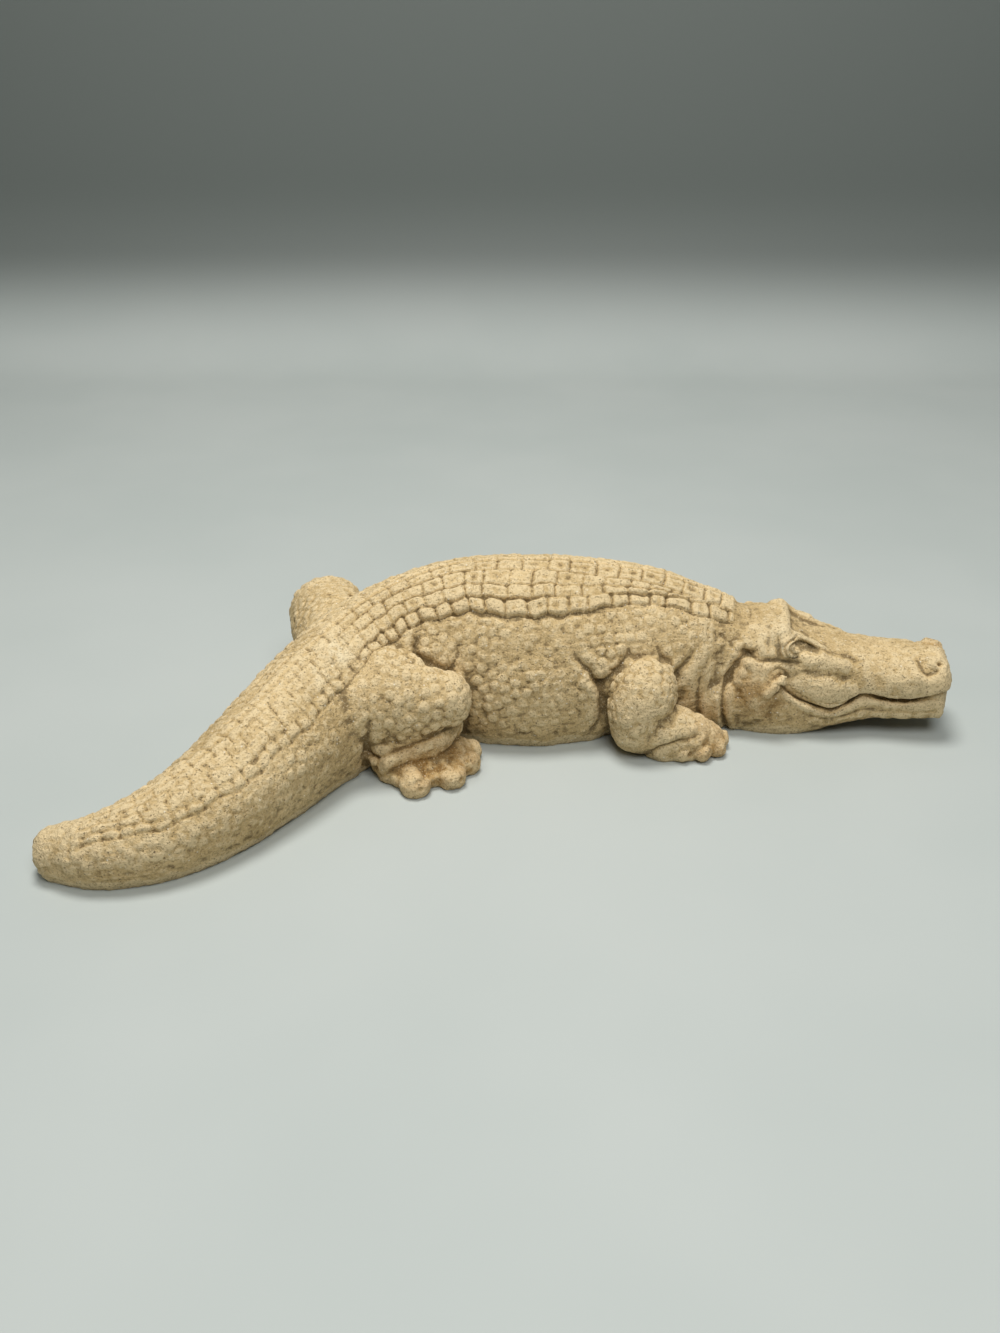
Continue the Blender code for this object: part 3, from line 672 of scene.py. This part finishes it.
def head_carving(points):
    """How far each point of the head moves out, and how much of it is on the head."""
    head = head_frame(points)
    forward, out, height = head.T
    on_head = eased((forward + 24) / 4) * eased((31 - np.abs(out)) / 3)
    cheek = on_head * eased((np.abs(out) - 5) / 4)
    side_view = head[:, [0, 2]]
    move = np.zeros(len(points))
    for crease in HEAD_FOLDS:
        move += fold(side_view, *crease) * cheek
    mouth = smooth_line(MOUTH)
    apart, depth = from_line(side_view, mouth)
    lip = np.interp(forward, mouth[:, 0], mouth[:, 1])
    along_lip = eased((forward + 1) / 5) * cheek
    move -= depth * np.exp(-((apart / 0.95) ** 1.4)) * cheek
    # The upper lip hangs over the mouth, and the lower lip is set back below it on a ledge.
    move += 1.3 * eased((height - lip) / 0.8) * eased((lip + 9 - height) / 8) * along_lip
    move += 0.7 * bell(lip - height - 2.4, 1.6) * along_lip
    move += fold(side_view, 1.0, 0.2, LIP_LEDGE) * along_lip
    beside = on_head * eased((np.abs(out) - 10) / 2.5)
    for crease in (EYE_HOLLOW, SNOUT_CREASE):
        move += fold(side_view, *crease) * beside
    # Three heavy lids, one in front of the other, open forwards round the hole of the eye.
    ahead, above = forward - EYE_HOLE[0], 1.35 * (height - EYE_HOLE[1])
    apart = np.hypot(ahead, above)
    lids = np.cos(2 * math.pi * (apart / LID_PITCH - 1))
    lids = lids * eased(apart - 0.8) * eased((LIDS_REACH - apart) / 0.8)
    lids *= LID_HEIGHT * eased((1.0 - ahead) / 2.5)
    move += (lids - EYE_HOLE_DEPTH * bell(apart, 1.4)) * beside
    place, width, depth = NOSTRIL
    mirrored = np.stack([forward, np.abs(out), height], axis=1)
    move += -depth * bell(np.linalg.norm(mirrored - place, axis=1), width)
    # A notch down the front of the upper lip.
    move -= 1.0 * bell(out, 1.6) * eased((forward - 68) / 3) * eased((height - 15) / 3)
    return move, on_head


def spaced_seeds(points, spacing, wanted):
    """Points picked from the skin so that no two are nearer than the spacing."""
    order = random.permutation(np.nonzero(wanted)[0])
    cells = {}
    kept = []
    for index in order:
        place = points[index]
        cell = tuple((place // spacing).astype(int))
        near = (
            other
            for dx in (-1, 0, 1)
            for dy in (-1, 0, 1)
            for dz in (-1, 0, 1)
            for other in cells.get((cell[0] + dx, cell[1] + dy, cell[2] + dz), ())
        )
        if all(((place - other) ** 2).sum() > spacing * spacing for other in near):
            cells.setdefault(cell, []).append(place)
            kept.append(place)
    return np.array(kept)


def pebbles(points, spacing, wanted):
    """Rounded scales: how high each point stands on a scale, with a faint crease around each."""
    rise = np.zeros(len(points))
    seeds = spaced_seeds(points, spacing, wanted)
    tree = kdtree.KDTree(len(seeds))
    for index, place in enumerate(seeds):
        tree.insert(place, index)
    tree.balance()
    own = 0.35 + 0.55 * random.random(len(seeds)) + 0.3 * (random.random(len(seeds)) > 0.93)
    reach = spacing * (0.5 + 0.12 * random.random(len(seeds)))
    for index in np.nonzero(wanted)[0]:
        for _, seed, apart in tree.find_n(points[index], 2):
            share = apart / reach[seed]
            if share < 1:
                rise[index] = max(rise[index], own[seed] * (1 - share**4))
            rise[index] -= 0.2 * math.exp(-(((share - 1.1) / 0.18) ** 2))
    return rise


def leg_carving(points):
    """How far each point moves for the legs' creases and the ends of the toes."""
    move = np.zeros(len(points))
    for side in (-1, 1):
        spread = FAR_SPREAD if side > 0 else 0.0
        hind = leg_frame(points, HIPS, HIPS_HEADING, side)
        fore = leg_frame(points, SHOULDERS, 0.0, side)
        on_leg = eased((hind[:, 1] - spread - 24) / 4)
        for crease in HIND_FOLDS:
            move += fold(hind[:, [0, 2]], *crease) * on_leg
        if side < 0:
            move += fold(hind[:, [0, 2]], *TAIL_FOLD) * on_leg
        move += fold(fore[:, [0, 2]], *WRIST_FOLD) * eased((fore[:, 1] - 30) / 4)
        # Each toe ends in a worn pit where its claw was.
        for leg, toes, out in ((hind, HIND_TOES, spread), (fore, FORE_TOES, 0.0)):
            for start, tip, thick in toes:
                way = np.subtract(tip, start) / math.dist(start, tip)
                end = (tip[0] + 0.7 * thick * way[0], tip[1] + 0.7 * thick * way[1] + out, 4.5)
                apart = np.linalg.norm(leg - end, axis=1)
                move += TOE_RIM[0] * bell(apart, TOE_RIM[1]) - TOE_PIT[0] * bell(apart, TOE_PIT[1])
    return move


def carve(points, spine):
    """How far each point moves out along its own normal."""
    move, on_head = head_carving(points)
    move += leg_carving(points)
    plates, edge = scutes(points, spine)
    plates *= 1 - eased((head_frame(points)[:, 0] + 19) / 3)
    move += plates
    height = points[:, 2]
    beside = np.abs(spine.off)
    flank = eased((beside - 8) / 5) * eased((spine.half_width + 4 - beside) / 3) * (1 - on_head)
    side_view = np.stack([spine.along, height], axis=1)
    for crease in FLANK_FOLDS:
        move += fold(side_view, *crease) * flank
    # Pebbles lie below the plates, and are fainter on the tail and near the ground.
    below_plates = (beside > edge + 1.5) | (height < spine.centre_height)
    wanted = below_plates & (head_frame(points)[:, 0] < -12) & (height > 0.5)
    strength = 0.34 + 0.18 * eased((spine.along - 60) / 100)
    strength *= 1 - 0.75 * eased((18 - height) / 12)
    strength *= np.clip(0.9 + 0.4 * unevenness(points, 24, 3), 0.45, 1.3)
    move += pebbles(points, PEBBLE_SPACING, wanted) * strength * wanted
    rough = np.zeros(len(points))
    for high, size, seed in CASTING:
        rough += high * unevenness(points, size, seed)
    return move + rough


def cut_flat(mesh):
    """Cuts the underside flat at the ground and closes it."""
    work = bmesh.new()
    work.from_mesh(mesh)
    cut = bmesh.ops.bisect_plane(
        work,
        geom=work.verts[:] + work.edges[:] + work.faces[:],
        plane_co=(0, 0, 0),
        plane_no=(0, 0, 1),
        dist=0.02,
        clear_inner=True,
    )
    edge = [e for e in cut["geom_cut"] if isinstance(e, bmesh.types.BMEdge)]
    bmesh.ops.holes_fill(work, edges=edge, sides=0)
    bmesh.ops.triangulate(work, faces=work.faces[:])
    for vertex in work.verts:
        if abs(vertex.co.z) < 0.02:
            vertex.co.z = 0.0
    bmesh.ops.recalc_face_normals(work, faces=work.faces[:])
    work.to_mesh(mesh)
    work.free()


def relief(points, edges, normals, rounds):
    """How far each point stands above its smoothed surroundings."""
    smooth = points.copy()
    count = np.bincount(edges.ravel(), minlength=len(points))[:, None]
    for _ in range(rounds):
        total = np.zeros_like(points)
        for axis in range(3):
            total[:, axis] += np.bincount(edges[:, 0], smooth[edges[:, 1], axis], len(points))
            total[:, axis] += np.bincount(edges[:, 1], smooth[edges[:, 0], axis], len(points))
        smooth = total / np.maximum(count, 1)
    return ((points - smooth) * normals).sum(axis=1)


def model_alligator():
    """The blocked-out figure, carved and cut flat, as one object."""
    clay = Clay()
    block_trunk(clay)
    block_head(clay)
    for side in (-1, 1):
        block_fore(clay, side)
    block_hind(clay, -1, 0.0, NEAR_THIGH)
    block_hind(clay, 1, FAR_SPREAD, FAR_THIGH)
    skin = fused(clay)
    points = read(skin.vertices, "co", 3)
    normals = read(skin.vertex_normals, "vector", 3)
    points += normals * carve(points, Spine(points))[:, None]
    skin.vertices.foreach_set("co", points.ravel())
    skin.update()
    cut_flat(skin)
    statue = bpy.data.objects.new("alligator_cast", skin)
    bpy.context.scene.collection.objects.link(statue)
    thin = statue.modifiers.new("thin", "DECIMATE")
    thin.ratio = min(1.0, MOST_FACES / len(skin.polygons))
    graph = bpy.context.evaluated_depsgraph_get()
    thinned = bpy.data.meshes.new_from_object(statue.evaluated_get(graph))
    statue.modifiers.clear()
    statue.data = thinned
    return statue


def set_in_place(statue):
    """Scales the figure to the CAD solid's length and sets it over the same ground. Returns the move."""
    mesh = statue.data
    points = read(mesh.vertices, "co", 3)
    points[:, 2] = np.maximum(points[:, 2], 0)
    low, high = points.min(axis=0), points.max(axis=0)
    solid_low, solid_high = (np.array(corner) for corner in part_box("alligator"))
    unit = (solid_high[0] - solid_low[0]) / (high[0] - low[0])
    middle = (low + high) / 2
    shift = np.array([*((solid_low + solid_high) / 2)[:2] - middle[:2] * unit, 0.0])
    mesh.vertices.foreach_set("co", (points * unit + shift).ravel())
    mesh.polygons.foreach_set("use_smooth", [True] * len(mesh.polygons))
    mesh.update()
    return unit, shift


# Stains seen in the casting: place on the figure, reach, and how strong, in sketch units.
OCHRE_STAINS = (
    (head_point(-9, -26, 22), 9, 0.9),
    (head_point(-4, -26, 16), 8, 0.7),
    (head_point(67, 9, 33), 6, 0.8),
    ((-30, -98, 4), 14, 1.0),
    ((-16, -95, 5), 12, 0.9),
    ((88, -80, 5), 12, 0.9),
    ((-45, -92, 6), 10, 0.8),
)
PALE_PATCHES = (
    ((-64, -84, 51), 6, 0.9),
    ((-72, -97, 46), 5, 0.6),
    (head_point(-2, -14, 47), 8, 0.5),
)


def patches(places, spots):
    """How strongly the spots show at each place."""
    value = np.zeros(len(places))
    for centre, reach, strength in spots:
        apart = np.linalg.norm(places - np.array(centre), axis=1)
        value = np.maximum(value, strength * bell(apart, reach))
    return value


def colour_points(mesh, unit, shift):
    """Keeps, at each point, how far it stands up or lies in a hollow, lowered by painted shade on what faces
    down and near the ground, and how stained and pale it is.
    """
    points = read(mesh.vertices, "co", 3)
    normals = read(mesh.vertex_normals, "vector", 3)
    edges = np.empty(len(mesh.edges) * 2, np.int32)
    mesh.edges.foreach_get("vertices", edges)
    edges = edges.reshape(-1, 2)
    fine, broad = RELIEF_ROUNDS
    stands = 0.55 * relief(points, edges, normals, fine) + 0.45 * relief(points, edges, normals, broad)
    sketch = (points - shift) / unit
    values = np.zeros((len(points), 4))
    # Painted shade darkens what faces down, and painted shade with some dirt darkens what is near the ground.
    near_ground = eased((15 - sketch[:, 2]) / 13)
    faces_down = eased((0.3 - normals[:, 2]) / 0.8)
    low_shade_and_dirt = near_ground * (0.12 + 0.3 * faces_down)
    # The first channel is lowered here by painted shade on undersides and near the ground.
    values[:, 0] = np.clip(0.5 + stands / unit * 0.9 - low_shade_and_dirt - 0.08 * faces_down, 0, 1)
    values[:, 1] = patches(sketch, OCHRE_STAINS)
    values[:, 2] = patches(sketch, PALE_PATCHES)
    values[:, 3] = 1.0
    # The weathering layer also carries painted shade in its first channel.
    layer = mesh.color_attributes.new("weathering_and_shade", "FLOAT_COLOR", "POINT")
    layer.data.foreach_set("color", values.astype(np.float32).ravel())


class Nodes:
    """Short ways to add and join shader nodes."""

    def __init__(self, name):
        self.material = bpy.data.materials.new(name)
        self.material.use_nodes = True
        self.tree = self.material.node_tree
        self.shader = self.tree.nodes["Principled BSDF"]

    def add(self, kind, inputs=None, **settings):
        node = self.tree.nodes.new(kind)
        for name, value in settings.items():
            setattr(node, name, value)
        for name, value in (inputs or {}).items():
            if isinstance(value, bpy.types.NodeSocket):
                self.tree.links.new(value, node.inputs[name])
            else:
                node.inputs[name].default_value = value
        return node

    def join(self, output, socket):
        """Joins an output to the shader's own socket."""
        self.tree.links.new(output, self.shader.inputs[socket])

    def noise(self, place, scale, detail=3.0, roughness=0.55):
        inputs = {"Vector": place, "Scale": scale, "Detail": detail, "Roughness": roughness}
        return self.add("ShaderNodeTexNoise", inputs).outputs["Fac"]

    def ramp(self, value, low, high):
        inputs = {"Value": value, "From Min": low, "From Max": high}
        return self.add("ShaderNodeMapRange", inputs, interpolation_type="SMOOTHSTEP").outputs["Result"]

    def maths(self, operation, first, second):
        return self.add("ShaderNodeMath", {0: first, 1: second}, operation=operation).outputs[0]

    def mix(self, share, under, over):
        node = self.add("ShaderNodeMix", data_type="RGBA")
        for socket, value in ((node.inputs[0], share), (node.inputs[6], under), (node.inputs[7], over)):
            if isinstance(value, bpy.types.NodeSocket):
                self.tree.links.new(value, socket)
            else:
                socket.default_value = value
        return node.outputs[2]

    def lay(self, over, mask, strength, under):
        """A colour laid over another where the mask is, this strongly."""
        return self.mix(self.maths("MULTIPLY", mask, strength), under, light_of(over))


def light_of(colour):
    """A colour as it looks on screen, turned to light."""
    return (*(((channel / 255 + 0.055) / 1.055) ** 2.4 for channel in colour), 1.0)


def cast_stone():
    nodes = Nodes("cast_stone")
    place = nodes.add("ShaderNodeTexCoord").outputs["Object"]
    weather = nodes.add("ShaderNodeVertexColor", layer_name="weathering_and_shade").outputs["Color"]
    split = nodes.add("ShaderNodeSeparateColor", {"Color": weather})
    stands, ochre, pale = split.outputs[0], split.outputs[1], split.outputs[2]
    # Broad shades of the sand.
    broad = nodes.ramp(nodes.noise(place, 45, 4), 0.35, 0.68)
    base = nodes.mix(broad, light_of(SAND), light_of(PALE_SAND))
    cloudy = nodes.ramp(nodes.noise(place, 260, 4, 0.65), 0.4, 0.7)
    base = nodes.lay(DARK_SAND, cloudy, 0.35, base)
    # Hollows hold dirt and painted shade, and undersides and what lies near the ground get painted shade;
    # what stands out is worn paler, with a painted highlight.
    base = nodes.lay(DIRT_AND_SHADE, nodes.ramp(stands, 0.48, 0.1), 0.7, base)
    base = nodes.lay(WORN_HIGHLIT_TOP, nodes.ramp(stands, 0.54, 0.85), 0.55, base)
    worn = nodes.maths("MULTIPLY", pale, nodes.ramp(nodes.noise(place, 330, 4), 0.3, 0.62))
    base = nodes.lay(CREAM, worn, 0.8, base)
    stain = nodes.maths("MULTIPLY", ochre, nodes.ramp(nodes.noise(place, 240, 4), 0.25, 0.6))
    base = nodes.lay(OCHRE, stain, 0.75, base)
    # Grains of sand, brown and light ones mixed, with a few small black and white specks.
    base = nodes.lay(BROWN_GRAIN, nodes.ramp(nodes.noise(place, 1150, 2, 0.6), 0.5, 0.68), 0.52, base)
    base = nodes.lay(LIGHT_GRAIN, nodes.ramp(nodes.noise(place, 1500, 2, 0.6), 0.56, 0.7), 0.5, base)
    specks = nodes.add("ShaderNodeTexVoronoi", {"Vector": place, "Scale": 700.0}, feature="F1")
    tint = nodes.add("ShaderNodeSeparateColor", {"Color": specks.outputs["Color"]}).outputs[0]
    body = nodes.ramp(specks.outputs["Distance"], 0.3, 0.16)
    black = nodes.maths("MULTIPLY", body, nodes.ramp(tint, 0.93, 0.95))
    base = nodes.lay(BLACK_SPECK, black, 0.65, base)
    white = nodes.maths("MULTIPLY", body, nodes.ramp(tint, 0.05, 0.03))
    base = nodes.lay(WHITE_SPECK, white, 0.6, base)
    nodes.join(base, "Base Color")
    rough = nodes.add("ShaderNodeMapRange", {"Value": cloudy, "To Min": 0.86, "To Max": 0.97})
    nodes.join(rough.outputs["Result"], "Roughness")
    nodes.shader.inputs["Specular IOR Level"].default_value = 0.2
    # Sand grain, pinholes and a softer unevenness in the casting.
    grain = nodes.noise(place, 850, 3, 0.7)
    pits = nodes.ramp(nodes.noise(place, 950, 1), 0.64, 0.78)
    uneven = nodes.noise(place, 320, 3)
    surface = nodes.maths("ADD", grain, nodes.maths("MULTIPLY", uneven, 0.7))
    surface = nodes.maths("SUBTRACT", surface, pits)
    bump = nodes.add("ShaderNodeBump", {"Height": surface, "Strength": 0.9, "Distance": 0.0008})
    nodes.join(bump.outputs["Normal"], "Normal")
    return nodes.material


def table_top():
    nodes = Nodes("pale_table")
    place = nodes.add("ShaderNodeTexCoord").outputs["Object"]
    cloud = nodes.ramp(nodes.noise(place, 5, 3), 0.3, 0.7)
    shade = nodes.mix(cloud, light_of(TABLE), light_of(PALE_TABLE))
    # The backdrop that it curves up into is painted darker, as painted shade where the light falls off up the
    # curve.
    height = nodes.add("ShaderNodeSeparateXYZ", {"Vector": place}).outputs["Z"]
    shade = nodes.mix(nodes.ramp(height, 0.0, SHADED_BACKDROP_HEIGHT), shade, light_of(SHADED_BACKDROP))
    nodes.join(shade, "Base Color")
    nodes.shader.inputs["Roughness"].default_value = 0.6
    return nodes.material


def set_camera(unit, shift):
    """The photo's camera, aimed at the middle of the sketch."""
    aim = Vector(shift)
    direction = Vector((0, math.cos(ELEVATION), -math.sin(ELEVATION)))
    lens = bpy.data.cameras.new("photo_camera")
    lens.sensor_width = SENSOR
    lens.lens = FOCAL_PIXELS / PHOTO_HEIGHT * SENSOR
    lens.clip_start = 0.01
    camera = bpy.data.objects.new("photo_camera", lens)
    bpy.context.scene.collection.objects.link(camera)
    camera.location = aim - direction * DISTANCE * unit
    camera.rotation_euler = direction.to_track_quat("-Z", "Y").to_euler()
    bpy.context.scene.camera = camera


def soft_light(name, place, aim, size, power, tint):
    lamp = bpy.data.lights.new(name, "AREA")
    lamp.shape = "DISK"
    lamp.size = size
    lamp.energy = power
    lamp.color = tint
    holder = bpy.data.objects.new(name, lamp)
    bpy.context.scene.collection.objects.link(holder)
    holder.location = place
    holder.rotation_euler = (Vector(aim) - Vector(place)).to_track_quat("-Z", "Y").to_euler()


def set_stage():
    """A pale table top that curves up behind the statue, and the lights."""
    ground = bmesh.new()
    bmesh.ops.create_grid(ground, x_segments=2, y_segments=300, size=TABLE_REACH)
    for vertex in ground.verts:
        beyond = vertex.co.y - SWEEP_START
        turn = min(max(beyond / SWEEP_RADIUS, 0), math.pi / 2)
        if beyond > 0:
            rest = max(beyond - SWEEP_RADIUS * math.pi / 2, 0)
            vertex.co.y = SWEEP_START + SWEEP_RADIUS * math.sin(turn)
            vertex.co.z = SWEEP_RADIUS * (1 - math.cos(turn)) + rest
    for face in ground.faces:
        face.smooth = True
    mesh = bpy.data.meshes.new("table_top")
    ground.to_mesh(mesh)
    ground.free()
    mesh.materials.append(table_top())
    floor = bpy.data.objects.new("table_top", mesh)
    bpy.context.scene.collection.objects.link(floor)
    soft_light("overhead", *OVERHEAD)
    soft_light("front_fill", *FRONT_FILL)
    world = bpy.data.worlds.new("room")
    world.use_nodes = True
    background = world.node_tree.nodes["Background"]
    background.inputs["Color"].default_value = ROOM_TINT
    background.inputs["Strength"].default_value = ROOM_STRENGTH
    bpy.context.scene.world = world


statue = model_alligator()
unit, shift = set_in_place(statue)
colour_points(statue.data, unit, shift)
statue.data.materials.clear()
statue.data.materials.append(cast_stone())
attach(statue, "root")
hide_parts("alligator")
set_stage()
set_camera(unit, shift)
bpy.context.scene.view_settings.view_transform = "Standard"
